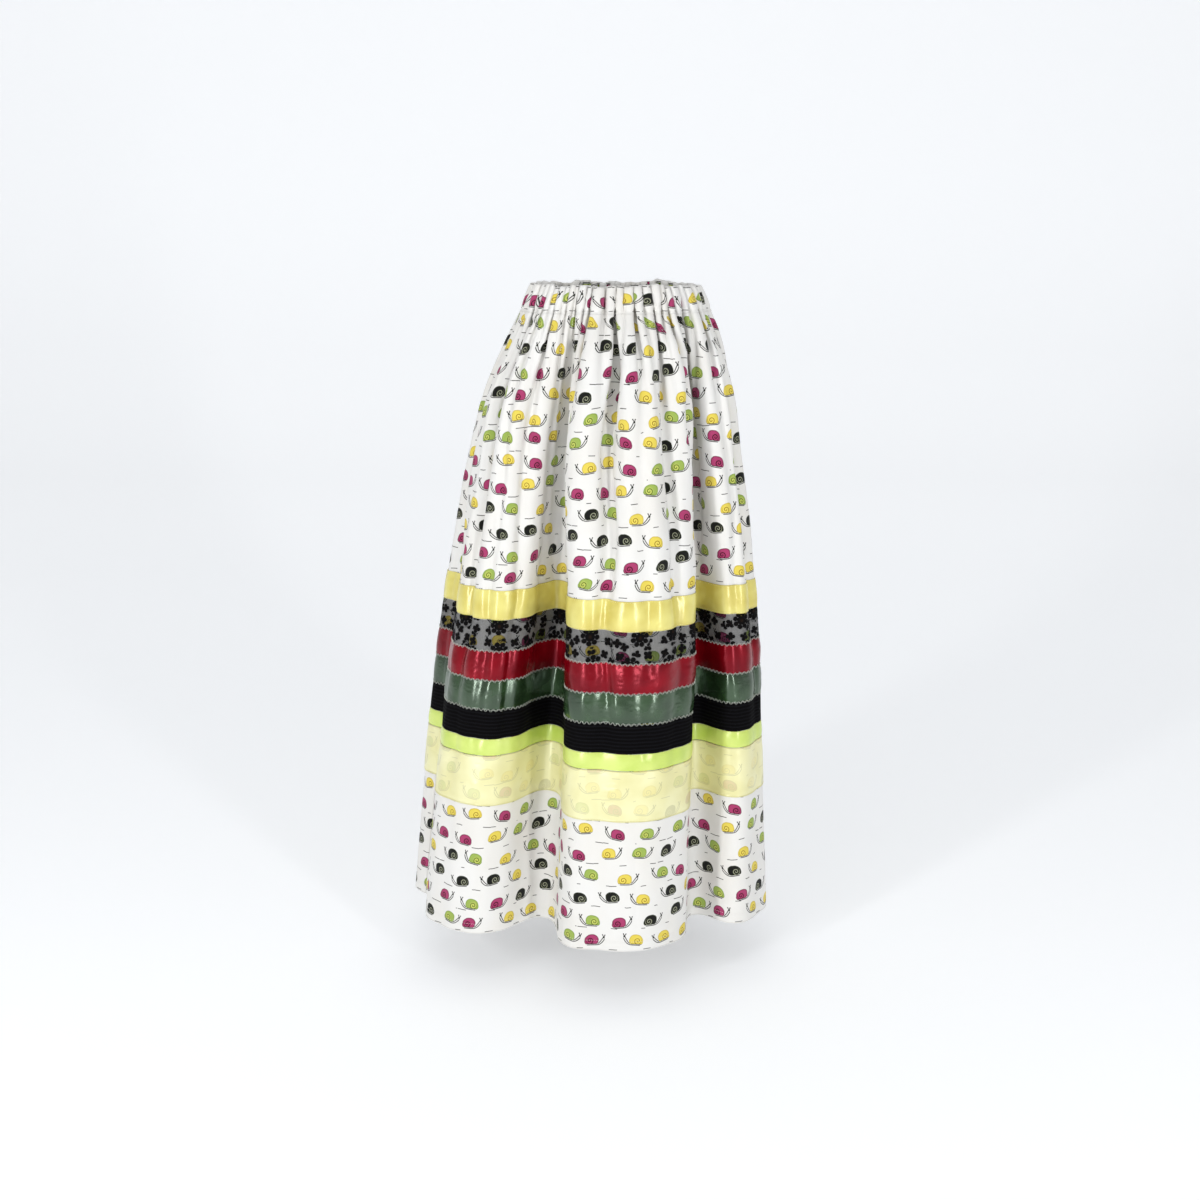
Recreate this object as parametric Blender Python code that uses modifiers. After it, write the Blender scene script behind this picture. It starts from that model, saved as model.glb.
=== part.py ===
"""A gathered ribbon skirt, filled out as if worn: two cotton panels, an elastic waist casing and
seven ribbons sewn round the lower half. Metres, +Z up, the front faces -Y, and the origin is the
middle of the waist, half-way up the casing."""

import math
from collections import namedtuple

import bpy
import numpy as np

# Driving dimensions.
LENGTH = 0.830  # top edge of the waist to the hem, straight down
CASING_HEIGHT = 0.034
RIBBONS_START = 0.376  # top edge of the waist to the first ribbon
PANEL_WALL = 0.0015
RIBBON_WALL = 0.0010
CASING_WALL = 0.0040  # two layers of cotton with the elastic between them
CASING_LEAN = 0.0008  # the flared wall reaches this far past its mid-line's ends
GAP = 0.0003  # between pieces that are sewn together
SEAM_TRIM = 0.0008  # off each panel at the side seams, where the cloth turns inwards
COLUMNS = 38  # facets across each panel
UPPER_ROWS = (0.070, 0.120, 0.180, 0.250, 0.315)  # drops of the panel rows above the ribbons
LOWER_ROWS = (0.745, LENGTH)  # and below them
SQUARENESS = 2.3  # 2 is an ellipse, and more is squarer
ROUND_SAMPLES = 1600  # points that a section is worked out with
BESSEL_SAMPLES = 48

# One row for each level section. Drop is the distance below the top edge. The mid-line of the cloth
# is an oval of these half sizes. A swing, in degrees, is how far the cloth turns to either side of
# the oval as it runs in and out of the folds: 90 makes the sides of a fold square to the oval. Last
# come the valleys to either side of the centre front fold, as shares of the way round.
Section = namedtuple(
    "Section", "drop half_width half_depth centre_x large_swing small_swing left_valley right_valley"
)
SECTIONS = [
    Section(0.000, 0.1035, 0.082, 0.000, 0, 0, 0.175, 0.385),
    Section(0.034, 0.1160, 0.091, -0.001, 4, 14, 0.175, 0.385),
    Section(0.070, 0.1280, 0.098, -0.003, 18, 36, 0.175, 0.388),
    Section(0.120, 0.1440, 0.102, -0.008, 34, 48, 0.178, 0.392),
    Section(0.240, 0.1690, 0.104, -0.015, 50, 36, 0.182, 0.396),
    Section(0.376, 0.1900, 0.106, -0.020, 59, 15, 0.186, 0.400),
    Section(0.566, 0.2110, 0.118, -0.028, 58, 9, 0.190, 0.394),
    Section(0.830, 0.2330, 0.134, -0.036, 50, 8, 0.192, 0.385),
]

# One row for each large fold, in order from the viewer's left, round the front. End is where its
# valley is, as a share of the way round. Strength multiplies the swing at its crest and pinch at
# its valley, broad flattens the crest and narrows the valleys, and splits are the small valleys on
# it, as shares of the fold.
Fold = namedtuple("Fold", "name end strength pinch broad splits")
FOLDS = [
    Fold("left front", 0.192, 0.62, 1.30, 0.25, (0.42, 0.74)),
    Fold("centre front", 0.383, 1.30, 1.15, 0.85, (0.36, 0.70)),
    Fold("right front", 0.510, 0.75, 0.90, 0.50, (0.52,)),
    Fold("right back", 0.635, 1.05, 1.10, 0.40, (0.50,)),
    Fold("centre back", 0.775, 1.15, 1.10, 0.50, (0.35, 0.68)),
    Fold("left back", 0.900, 1.05, 0.95, 0.40, (0.50,)),
    Fold("left side", 1.015, 0.75, 0.62, 0.30, (0.50,)),
]
SMALL_STRENGTHS = (1.1, 0.8, 1.0, 1.2, 0.9)  # taken in turn by the small folds
SMALL_BROAD = 0.45

Ribbon = namedtuple("Ribbon", "name width colour roughness")
RIBBONS = [
    Ribbon("yellow_ribbon", 0.038, (0.80, 0.68, 0.15), 0.35),
    Ribbon("lace_ribbon", 0.040, (0.06, 0.06, 0.06), 0.85),
    Ribbon("red_ribbon", 0.038, (0.30, 0.008, 0.02), 0.35),
    Ribbon("green_ribbon", 0.038, (0.06, 0.13, 0.065), 0.35),
    Ribbon("black_ribbon", 0.038, (0.008, 0.008, 0.009), 0.85),
    Ribbon("lime_ribbon", 0.022, (0.45, 0.72, 0.08), 0.35),
    Ribbon("pale_ribbon", 0.067, (0.82, 0.78, 0.28), 0.40),
]
COTTON = ((0.86, 0.86, 0.84), 0.85)

AROUND = np.arange(ROUND_SAMPLES) / ROUND_SAMPLES  # shares of the way round
TOP_Z = CASING_HEIGHT / 2


def bessel(order, values):
    """The Bessel function of the first kind, as the mean of its integral."""
    turn = (np.arange(BESSEL_SAMPLES) + 0.5) * math.pi / BESSEL_SAMPLES
    return np.cos(order * turn - np.multiply.outer(values, np.sin(turn))).mean(axis=-1)


def arc_lengths(curve):
    """Distances along a closed curve to each of its points, and then back to the first."""
    steps = np.roll(curve, -1, axis=0) - curve
    return np.append(0.0, np.cumsum(np.hypot(steps[:, 0], steps[:, 1])))


def outward(curve):
    """Unit normals of a closed curve that runs anticlockwise."""
    along = np.roll(curve, -1, axis=0) - np.roll(curve, 1, axis=0)
    normals = np.stack([along[:, 1], -along[:, 0]], axis=1)
    return normals / np.linalg.norm(normals, axis=1, keepdims=True)


def oval(section):
    """The mid-line of the cloth, from the left, round the front, with its points evenly spaced."""
    angle = np.linspace(0, 2 * math.pi, 4 * ROUND_SAMPLES + 1)
    cosine, sine = np.cos(angle), np.sin(angle)
    x = -np.sign(cosine) * np.abs(cosine) ** (2 / SQUARENESS) * section.half_width
    y = -np.sign(sine) * np.abs(sine) ** (2 / SQUARENESS) * section.half_depth
    share = np.append(0.0, np.cumsum(np.hypot(np.diff(x), np.diff(y))))
    share /= share[-1]
    return np.stack([np.interp(AROUND, share, x) + section.centre_x, np.interp(AROUND, share, y)], axis=1)


def eased_round(places, values):
    """Values given at places round the oval, eased from each one to the next."""
    order = np.argsort(places % 1)
    places, values = (places % 1)[order], values[order]
    places = np.concatenate([places - 1, places, places + 1])
    values = np.tile(values, 3)
    before = np.searchsorted(places, AROUND, side="right") - 1
    part = (AROUND - places[before]) / (places[before + 1] - places[before])
    part = part * part * (3 - 2 * part)
    return values[before] * (1 - part) + values[before + 1] * part


def folded(curve, ends, strengths, pinches, broads, swing):
    """The curve taken in and out of folds. Cloth that turns by a sine of its own length makes the
    meander that a gathered strip does, and the Bessel series is that meander's closed form."""
    starts = np.append(ends[-1] - 1, ends[:-1])
    lengths = arc_lengths(curve)

    def distance(share):
        return np.interp(share % 1, np.append(AROUND, 1), lengths) + np.floor(share) * lengths[-1]

    chords = distance(ends) - distance(starts)
    share = np.where(AROUND >= ends[-1], AROUND - 1, AROUND)
    fold = np.searchsorted(ends, share, side="right")
    turned = 2 * math.pi * (share - starts[fold]) / (ends[fold] - starts[fold])
    phase = turned + broads[fold] * np.sin(turned)

    knots = np.concatenate([starts, (starts + ends) / 2])
    chord = eased_round(knots, np.concatenate([(chords + np.roll(chords, 1)) / 2, chords]))
    strength = eased_round(knots, np.concatenate([np.roll(pinches, 1), strengths]))
    j0, j1, j2, j3, j4 = (bessel(order, strength * math.radians(swing)) for order in range(5))
    out = -chord / math.pi * (j1 * np.cos(phase) + j3 * np.cos(3 * phase) / 3) / j0
    along = chord / math.pi * (j2 * np.sin(2 * phase) / 2 + j4 * np.sin(4 * phase) / 4) / j0

    normals = outward(curve)
    moved = (lengths[:-1] + along) % lengths[-1]
    closed = np.concatenate([np.hstack([curve, normals]), [[*curve[0], *normals[0]]]])
    x, y, normal_x, normal_y = (np.interp(moved, lengths, column) for column in closed.T)
    return np.stack([x + out * normal_x, y + out * normal_y], axis=1)


def small_fold_ends():
    """Where the small valleys are, as shares of the way round."""
    ends = []
    start = FOLDS[-1].end - 1
    for fold in FOLDS:
        ends += [start + (fold.end - start) * split for split in fold.splits] + [fold.end]
        start = fold.end
    return np.array(ends)


def section_at(drop):
    """The section at any height, read between the rows of the table."""
    drops = [section.drop for section in SECTIONS]
    return Section(*(np.interp(drop, drops, column) for column in zip(*SECTIONS)))


def cloth_section(drop):
    """The folded section at this drop, as closely spaced points."""
    section = section_at(drop)
    columns = [np.array(column) for column in list(zip(*FOLDS))[1:5]]
    ends, strengths, pinches, broads = columns
    valleys = np.array([section.left_valley, section.right_valley, *ends[2:]])
    curve = folded(oval(section), valleys, strengths, pinches, broads, section.large_swing)
    placed, moved = np.append(ends[-1] - 1, ends), np.append(ends[-1] - 1, valleys)
    small_ends = np.interp(small_fold_ends(), placed, moved)
    count = len(small_ends)
    strengths = np.resize(SMALL_STRENGTHS, count)
    return folded(curve, small_ends, strengths, strengths, np.full(count, SMALL_BROAD), section.small_swing)


def columns_across(curve, first, last, count, trim):
    """Points at even distances along the curve between two shares of the way round, then their
    outward normals. Trim shortens the first and the last facet."""
    lengths = arc_lengths(curve)
    from_, to = np.interp([first, last], np.append(AROUND, 1), lengths)
    wanted = np.linspace(from_, to, count + 1)
    closed = np.concatenate([np.hstack([curve, outward(curve)]), [[*curve[0], *outward(curve)[0]]]])
    across = np.stack([np.interp(wanted, lengths, column) for column in closed.T], axis=1)
    for edge, beside in ((0, 1), (-1, -2)):
        step = across[beside] - across[edge]
        across[edge] += step * trim / math.hypot(step[0], step[1])
    return across


def grid_of(drops, first, last, count, trim=0.0):
    """Points and normals, indexed by row and column, on the outer face of the cloth."""
    rows = []
    for drop in drops:
        across = columns_across(cloth_section(drop), first, last, count, trim)
        height = np.full((count + 1, 1), TOP_Z - drop)
        rows.append(np.hstack([across[:, :2], height, across[:, 2:], np.zeros((count + 1, 1))]))
    return np.array(rows)


def sheet_object(name, points, closed, wall, side, material):
    """An open grid of triangles, given its wall by Solidify: side is 1 for a wall outside the
    points and -1 for one inside them."""
    rows, count = points.shape[:2]
    index = np.arange(rows * count).reshape(rows, count)
    right = np.roll(index, -1, axis=1)
    if not closed:
        index, right = index[:, :-1], right[:, :-1]
    faces = []
    for upper, upper_right, lower, lower_right in zip(
        index[:-1].ravel(), right[:-1].ravel(), index[1:].ravel(), right[1:].ravel()
    ):
        faces.append((int(upper), int(lower), int(lower_right)))
        faces.append((int(upper), int(lower_right), int(upper_right)))
    mesh = bpy.data.meshes.new(name)
    mesh.from_pydata(points.reshape(-1, 3).tolist(), [], faces)
    mesh.shade_smooth()
    mesh.materials.append(material)
    piece = bpy.data.objects.new(name, mesh)
    collection.objects.link(piece)
    solidify = piece.modifiers.new("Wall", "SOLIDIFY")
    solidify.thickness = wall
    solidify.offset = side
    return piece


def plain_material(name, colour, roughness):
    material = bpy.data.materials.new(name)
    material.use_nodes = True
    shader = material.node_tree.nodes["Principled BSDF"]
    shader.inputs["Base Color"].default_value = (*colour, 1)
    shader.inputs["Roughness"].default_value = roughness
    shader.inputs["Metallic"].default_value = 0
    return material


def ribbon_edges():
    """Drops of the ribbons' edges, from the top one down."""
    return RIBBONS_START + np.append(0.0, np.cumsum([ribbon.width for ribbon in RIBBONS]))


def make_panels(material):
    drops = [CASING_HEIGHT + GAP, *UPPER_ROWS, *ribbon_edges(), *LOWER_ROWS]
    for name, first in (("front_panel", 0.0), ("back_panel", 0.5)):
        grid = grid_of(drops, first, first + 0.5, COLUMNS, SEAM_TRIM)
        sheet_object(name, grid[..., :3], False, PANEL_WALL, -1, material)


def make_casing(material):
    """The folded-over top, as a plain band round the waist."""
    drops = (CASING_LEAN, CASING_HEIGHT - CASING_LEAN)
    halves = [grid_of(drops, first, first + 0.5, COLUMNS)[:, :-1] for first in (0.0, 0.5)]
    grid = np.concatenate(halves, axis=1)
    sheet_object("waist_casing", grid[..., :3], True, CASING_WALL, 0, material)


def make_ribbons():
    """Each ribbon lies on the panels' own points, moved out by the gap."""
    edges = ribbon_edges()
    for ribbon, top, bottom in zip(RIBBONS, edges[:-1], edges[1:]):
        halves = [grid_of((top, bottom), first, first + 0.5, COLUMNS)[:, :-1] for first in (0.0, 0.5)]
        grid = np.concatenate(halves, axis=1)
        points = grid[..., :3] + GAP * grid[..., 3:]
        trim = GAP / 2 / ribbon.width
        upper = points[0] * (1 - trim) + points[1] * trim
        lower = points[0] * trim + points[1] * (1 - trim)
        material = plain_material(ribbon.name, ribbon.colour, ribbon.roughness)
        sheet_object(ribbon.name, np.stack([upper, lower]), True, RIBBON_WALL, 1, material)


for old in list(bpy.data.objects):
    bpy.data.objects.remove(old)
collection = bpy.data.collections.new("ribbon_skirt")
bpy.context.scene.collection.children.link(collection)
cotton = plain_material("printed_cotton", *COTTON)
make_panels(cotton)
make_casing(cotton)
make_ribbons()
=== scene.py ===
"""A gathered ribbon skirt, as if worn: two printed cotton panels, a gathered elastic casing at the
waist, and seven ribbons sewn round the lower half. Metres, +Z up, the front faces -Y."""

import math
from collections import namedtuple

import bpy
import numpy as np
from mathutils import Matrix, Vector, noise


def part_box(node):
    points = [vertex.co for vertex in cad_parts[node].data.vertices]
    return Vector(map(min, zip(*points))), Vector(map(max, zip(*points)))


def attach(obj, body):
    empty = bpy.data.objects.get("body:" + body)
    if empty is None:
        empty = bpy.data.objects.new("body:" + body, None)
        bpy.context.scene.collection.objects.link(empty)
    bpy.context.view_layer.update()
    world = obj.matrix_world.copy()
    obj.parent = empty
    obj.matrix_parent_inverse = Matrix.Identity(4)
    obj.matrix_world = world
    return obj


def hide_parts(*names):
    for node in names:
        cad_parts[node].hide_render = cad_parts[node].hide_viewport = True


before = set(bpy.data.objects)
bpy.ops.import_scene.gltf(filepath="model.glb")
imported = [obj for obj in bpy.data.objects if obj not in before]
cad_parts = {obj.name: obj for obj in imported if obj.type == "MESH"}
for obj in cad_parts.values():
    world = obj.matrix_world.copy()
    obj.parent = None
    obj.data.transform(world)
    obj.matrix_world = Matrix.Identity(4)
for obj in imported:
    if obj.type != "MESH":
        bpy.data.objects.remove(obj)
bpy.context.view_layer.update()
scene = bpy.context.scene

# --- Front and back panels -----------------------------------------------------------------------
# Two widths of white printed cotton, seamed at the sides and gathered into the waist, so each hangs
# in a few large folds that split into smaller and smaller gathers upwards. The print is a scatter
# of small snails with short dashes between them. The hem is turned up inside.

CUT_WIDTH = 1.60  # both panels, seam to seam, before gathering
CASING_HEIGHT = 0.034
TOP_Z = CASING_HEIGHT / 2
LENGTH = TOP_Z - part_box("front_panel")[0].z
SQUARENESS = 2.3  # of the ovals: the one that the cloth folds in and out of, and a snail's shell
ROUND_SAMPLES = 2400
COLUMNS = 640  # facets all the way round
PANEL_WALL = 0.0006
HEM_DEPTH = 0.013
HEM_WALL = 0.0015

# One row for each level: the oval's half sizes, and how far the cloth turns to either side of it,
# in degrees, in the large, small, fine and finest folds. The last two are then scaled until the
# section is as long as the cut. Last come the valleys to either side of the centre front fold, as
# shares of the way round.
Section = namedtuple(
    "Section", "drop half_width half_depth centre_x large small fine finest left_valley right_valley"
)
SECTIONS = [
    Section(0.000, 0.1035, 0.082, 0.000, 0, 0, 0, 57, 0.175, 0.385),
    Section(0.034, 0.1160, 0.091, -0.001, 4, 14, 14, 57, 0.175, 0.385),
    Section(0.070, 0.1280, 0.098, -0.003, 18, 36, 46, 46, 0.175, 0.388),
    Section(0.120, 0.1440, 0.102, -0.008, 34, 48, 54, 20, 0.178, 0.392),
    Section(0.240, 0.1690, 0.104, -0.015, 50, 36, 42, 6, 0.182, 0.396),
    Section(0.376, 0.1900, 0.106, -0.020, 59, 15, 22, 0, 0.186, 0.400),
    Section(0.566, 0.2110, 0.118, -0.028, 58, 9, 14, 0, 0.190, 0.394),
    Section(0.830, 0.2330, 0.134, -0.036, 50, 8, 10, 0, 0.192, 0.385),
]

# One row for each large fold, from the left seam round the front: where its valley is, as a share
# of the way round, how strongly it turns at its crest and at its valley, how flat its crest is,
# and where the small valleys on it are.
Fold = namedtuple("Fold", "name end strength pinch broad splits")
FOLDS = [
    Fold("left front", 0.192, 0.62, 1.30, 0.25, (0.42, 0.74)),
    Fold("centre front", 0.383, 1.30, 1.15, 0.85, (0.36, 0.70)),
    Fold("right front", 0.510, 0.75, 0.90, 0.50, (0.52,)),
    Fold("right back", 0.635, 1.05, 1.10, 0.40, (0.50,)),
    Fold("centre back", 0.775, 1.15, 1.10, 0.50, (0.35, 0.68)),
    Fold("left back", 0.900, 1.05, 0.95, 0.40, (0.50,)),
    Fold("left side", 1.015, 0.75, 0.62, 0.30, (0.50,)),
]
SMALL_STRENGTHS = (1.1, 0.8, 1.0, 1.2, 0.9)
SMALL_BROAD = 0.45
GATHER_BROAD = 0.55

AROUND = np.arange(ROUND_SAMPLES) / ROUND_SAMPLES
SWINGS = np.linspace(0, 3, 301)
HALF_TURN = (np.arange(64) + 0.5) * math.pi / 64
BESSEL = [np.cos(n * HALF_TURN - np.outer(SWINGS, np.sin(HALF_TURN))).mean(axis=1) for n in range(5)]


def arc_lengths(curve):
    """Distances along a closed curve to each of its points, and then back to the first."""
    steps = np.roll(curve, -1, axis=0) - curve
    return np.append(0.0, np.cumsum(np.hypot(steps[:, 0], steps[:, 1])))


def outward(curve):
    along = np.roll(curve, -1, axis=0) - np.roll(curve, 1, axis=0)
    normals = np.stack([along[:, 1], -along[:, 0]], axis=1)
    return normals / np.linalg.norm(normals, axis=1, keepdims=True)


def oval(half_width, half_depth, centre_x):
    angle = np.linspace(0, 2 * math.pi, 4 * ROUND_SAMPLES + 1)
    cosine, sine = np.cos(angle), np.sin(angle)
    x = -np.sign(cosine) * np.abs(cosine) ** (2 / SQUARENESS) * half_width
    y = -np.sign(sine) * np.abs(sine) ** (2 / SQUARENESS) * half_depth
    share = np.append(0.0, np.cumsum(np.hypot(np.diff(x), np.diff(y))))
    share /= share[-1]
    return np.stack([np.interp(AROUND, share, x) + centre_x, np.interp(AROUND, share, y)], axis=1)


def eased_round(places, values):
    """Values given at places round the oval, eased from each one to the next."""
    order = np.argsort(places % 1)
    places, values = (places % 1)[order], values[order]
    places = np.concatenate([places - 1, places, places + 1])
    values = np.tile(values, 3)
    before = np.searchsorted(places, AROUND, side="right") - 1
    part = (AROUND - places[before]) / (places[before + 1] - places[before])
    part = part * part * (3 - 2 * part)
    return values[before] * (1 - part) + values[before + 1] * part


def folded(curve, ends, strengths, pinches, broads, swing):
    """The curve taken in and out of folds that end at the given shares of the way round. Cloth that
    turns by a sine of its own length makes the meander of a gathered strip."""
    starts = np.append(ends[-1] - 1, ends[:-1])
    lengths = arc_lengths(curve)
    shares = np.append(AROUND, 1)
    reached = np.interp(ends % 1, shares, lengths) + np.floor(ends) * lengths[-1]
    chords = reached - np.append(reached[-1] - lengths[-1], reached[:-1])
    share = np.where(AROUND >= ends[-1], AROUND - 1, np.where(AROUND < starts[0], AROUND + 1, AROUND))
    fold = np.searchsorted(ends, share, side="right")
    turned = 2 * math.pi * (share - starts[fold]) / (ends[fold] - starts[fold])
    phase = turned + broads[fold] * np.sin(turned)
    knots = np.concatenate([starts, (starts + ends) / 2])
    chord = eased_round(knots, np.concatenate([(chords + np.roll(chords, 1)) / 2, chords]))
    strength = eased_round(knots, np.concatenate([np.roll(pinches, 1), strengths]))
    turn = np.minimum(strength * math.radians(swing), 2.0)
    j0, j1, j2, j3, j4 = (np.interp(turn, SWINGS, table) for table in BESSEL)
    out = -chord / math.pi * (j1 * np.cos(phase) + j3 * np.cos(3 * phase) / 3) / j0
    along = chord / math.pi * (j2 * np.sin(2 * phase) / 2 + j4 * np.sin(4 * phase) / 4) / j0
    normals = outward(curve)
    moved = (lengths[:-1] + along) % lengths[-1]
    closed = np.concatenate([np.hstack([curve, normals]), [[*curve[0], *normals[0]]]])
    x, y, normal_x, normal_y = (np.interp(moved, lengths, column) for column in closed.T)
    return np.stack([x + out * normal_x, y + out * normal_y], axis=1)


def eased_table(rows, where):
    """The table's columns at any drop, on a smooth curve through its rows."""
    table = np.array(rows, float)
    drops, slopes = table[:, 0], np.gradient(table, table[:, 0], axis=0)
    after = int(np.clip(np.searchsorted(drops, where), 1, len(drops) - 1))
    span = drops[after] - drops[after - 1]
    part = min(max((where - drops[after - 1]) / span, 0), 1)
    low, high = table[after - 1], table[after]
    return (
        low * (1 + 2 * part) * (1 - part) ** 2
        + high * part**2 * (3 - 2 * part)
        + slopes[after - 1] * span * part * (1 - part) ** 2
        - slopes[after] * span * part**2 * (1 - part)
    )


FOLD_ENDS = np.array([fold.end for fold in FOLDS])
FOLD_STRENGTHS = np.array([fold.strength for fold in FOLDS])
FOLD_PINCHES = np.array([fold.pinch for fold in FOLDS])
FOLD_BROADS = np.array([fold.broad for fold in FOLDS])
small_ends = []
fold_start = FOLDS[-1].end - 1
for fold in FOLDS:
    small_ends += [fold_start + (fold.end - fold_start) * share for share in fold.splits] + [fold.end]
    fold_start = fold.end
SMALL_ENDS = np.array(small_ends)
SMALLS = len(SMALL_ENDS)


class Gathers:
    """Folds twice as many as those above them, each with its own place, strength and reach."""

    def __init__(self, parents, seed, low, high):
        draw = np.random.default_rng(seed)
        starts = np.append(parents[-1] - 1, parents[:-1])
        middles = starts + (parents - starts) * draw.uniform(low, high, len(parents))
        self.ends = np.sort(np.concatenate([middles, parents]))
        count = len(self.ends)
        self.strengths = draw.uniform(0.55, 1.25, count)
        self.pinches = draw.uniform(0.7, 1.5, count)
        self.reaches = draw.uniform(0.10, 0.45, count)
        self.waves = draw.uniform(0.10, 0.30, count)
        self.phases = draw.uniform(0, 2 * math.pi, count)
        self.broads = draw.uniform(0.8, 1.2, count) * GATHER_BROAD
        self.room = np.minimum(self.ends - np.roll(self.ends, 1), np.roll(self.ends, -1) - self.ends) % 1

    def at(self, drop):
        ends = self.ends + 0.10 * self.room * np.sin(self.phases + 2 * math.pi * drop / self.waves)
        left = 0.3 + 0.7 * np.exp(-((drop / self.reaches) ** 2))
        return ends, self.strengths * left, self.pinches * left, self.broads


fine_gathers = Gathers(SMALL_ENDS, 4, 0.36, 0.64)
finest_gathers = Gathers(fine_gathers.ends, 9, 0.36, 0.64)
rings = {}


def ring(drop):
    """The folded cloth at this drop: x, y and outward normal at each column, all the way round."""
    key = round(drop, 6)
    if key in rings:
        return rings[key]
    section = Section(*eased_table(SECTIONS, drop))
    curve = oval(section.half_width, section.half_depth, section.centre_x)
    valleys = FOLD_ENDS.copy()
    valleys[:2] = section.left_valley, section.right_valley
    anchors, moved = np.append(FOLD_ENDS[-1] - 1, FOLD_ENDS), np.append(valleys[-1] - 1, valleys)
    curve = folded(curve, valleys, FOLD_STRENGTHS, FOLD_PINCHES, FOLD_BROADS, section.large)
    smalls = np.resize(SMALL_STRENGTHS, SMALLS)
    small_ends = np.interp(SMALL_ENDS, anchors, moved)
    curve = folded(curve, small_ends, smalls, smalls, np.full(SMALLS, SMALL_BROAD), section.small)
    fine, finest = fine_gathers.at(drop), finest_gathers.at(drop)
    low, high = 0.0, 2.2
    for _ in range(11):
        scale = (low + high) / 2
        fuller = folded(curve, np.interp(fine[0], anchors, moved), *fine[1:], scale * section.fine)
        if section.finest > 0.5:
            fuller = folded(fuller, np.interp(finest[0], anchors, moved), *finest[1:], scale * section.finest)
        if arc_lengths(fuller)[-1] < CUT_WIDTH:
            low = scale
        else:
            high = scale
    lengths = arc_lengths(fuller)
    half = lengths[ROUND_SAMPLES // 2]
    front = np.linspace(0, half, COLUMNS // 2, endpoint=False)
    back = np.linspace(half, lengths[-1], COLUMNS // 2, endpoint=False)
    normals = outward(fuller)
    closed = np.concatenate([np.hstack([fuller, normals]), [[*fuller[0], *normals[0]]]])
    wanted = np.concatenate([front, back])
    rings[key] = np.stack([np.interp(wanted, lengths, column) for column in closed.T], axis=1)
    return rings[key]


# Creases left by folding and handling, as soft troughs in the cloth: the middle, from the left seam
# and from the top edge, then half the length and half the width, the slant in degrees from upright
# and the depth, all in metres but the slant.
Crease = namedtuple("Crease", "across drop reach width slant depth")
CREASES = [
    Crease(0.10, 0.700, 0.045, 0.006, 62, 0.0012),
    Crease(0.16, 0.725, 0.060, 0.007, 75, 0.0014),
    Crease(0.24, 0.705, 0.040, 0.006, -58, 0.0011),
    Crease(0.20, 0.790, 0.035, 0.006, 68, 0.0009),
    Crease(0.33, 0.690, 0.030, 0.005, 84, 0.0008),
    Crease(0.46, 0.745, 0.080, 0.004, 2, 0.0007),
    Crease(0.52, 0.700, 0.038, 0.006, -70, 0.0009),
    Crease(0.57, 0.770, 0.045, 0.006, 58, 0.0010),
    Crease(0.70, 0.720, 0.040, 0.006, -64, 0.0010),
    Crease(0.14, 0.300, 0.060, 0.007, 12, 0.0012),
    Crease(0.35, 0.260, 0.070, 0.006, -8, 0.0010),
    Crease(0.45, 0.330, 0.055, 0.006, 14, 0.0009),
    Crease(0.58, 0.290, 0.060, 0.007, -10, 0.0011),
    Crease(0.72, 0.240, 0.060, 0.006, 9, 0.0010),
    Crease(0.92, 0.700, 0.050, 0.006, -66, 0.0012),
    Crease(1.03, 0.760, 0.045, 0.006, 60, 0.0010),
    Crease(1.15, 0.715, 0.050, 0.007, 78, 0.0012),
    Crease(1.28, 0.770, 0.040, 0.006, -62, 0.0009),
    Crease(1.42, 0.705, 0.045, 0.006, 66, 0.0011),
    Crease(1.52, 0.780, 0.040, 0.006, -72, 0.0009),
    Crease(1.00, 0.280, 0.060, 0.007, 10, 0.0011),
    Crease(1.20, 0.250, 0.065, 0.006, -9, 0.0010),
    Crease(1.38, 0.310, 0.055, 0.006, 13, 0.0010),
]
ACROSS = np.arange(COLUMNS) * CUT_WIDTH / COLUMNS
SEAM_EASE = 0.020


def relief(drop):
    """How far the cloth stands out of its smooth folds at each column."""
    height = np.zeros(COLUMNS)
    for crease in CREASES:
        slant = math.radians(crease.slant)
        side, down = ACROSS - crease.across, drop - crease.drop
        along = side * math.sin(slant) + down * math.cos(slant)
        aside = side * math.cos(slant) - down * math.sin(slant)
        height -= crease.depth * np.exp(-((along / crease.reach) ** 2) - (aside / crease.width) ** 2)
    for column, across in enumerate(ACROSS):
        height[column] += 0.0011 * noise.noise(Vector((across * 22, drop * 9, 3.1)))
        height[column] += 0.0004 * noise.noise(Vector((across * 70, drop * 42, 7.7)))
    half = CUT_WIDTH / 2
    from_seam = np.minimum(ACROSS % half, half - ACROSS % half)
    return height * np.clip(from_seam / SEAM_EASE, 0, 1)


def cloth_row(drop, stand=0.0):
    """Points round the skirt at this drop, stood out from the cloth by a distance or by one for
    each column."""
    at = ring(drop)
    out = (relief(drop) + stand)[:, None]
    return np.column_stack([at[:, :2] + out * at[:, 2:], np.full(COLUMNS, TOP_Z - drop)])


# How the four corners of a face step along its edge and back, and over to its far side.
RETURNING, CROSSING = np.array([0, 1, 1, 0]), np.array([0, 0, 1, 1])
# Where each run of faces lies in the square for baking: left, low, width and height.
OUTER_AREA = (0.004, 0.004, 0.772, 0.992)
INNER_AREA = (0.800, 0.004, 0.196, 0.992)
UPPER_STRIP = (0.780, 0.004, 0.003, 0.990)
LOWER_STRIP = (0.784, 0.004, 0.003, 0.990)
LEFT_STRIP = (0.788, 0.004, 0.003, 0.990)
RIGHT_STRIP = (0.792, 0.004, 0.003, 0.990)


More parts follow.
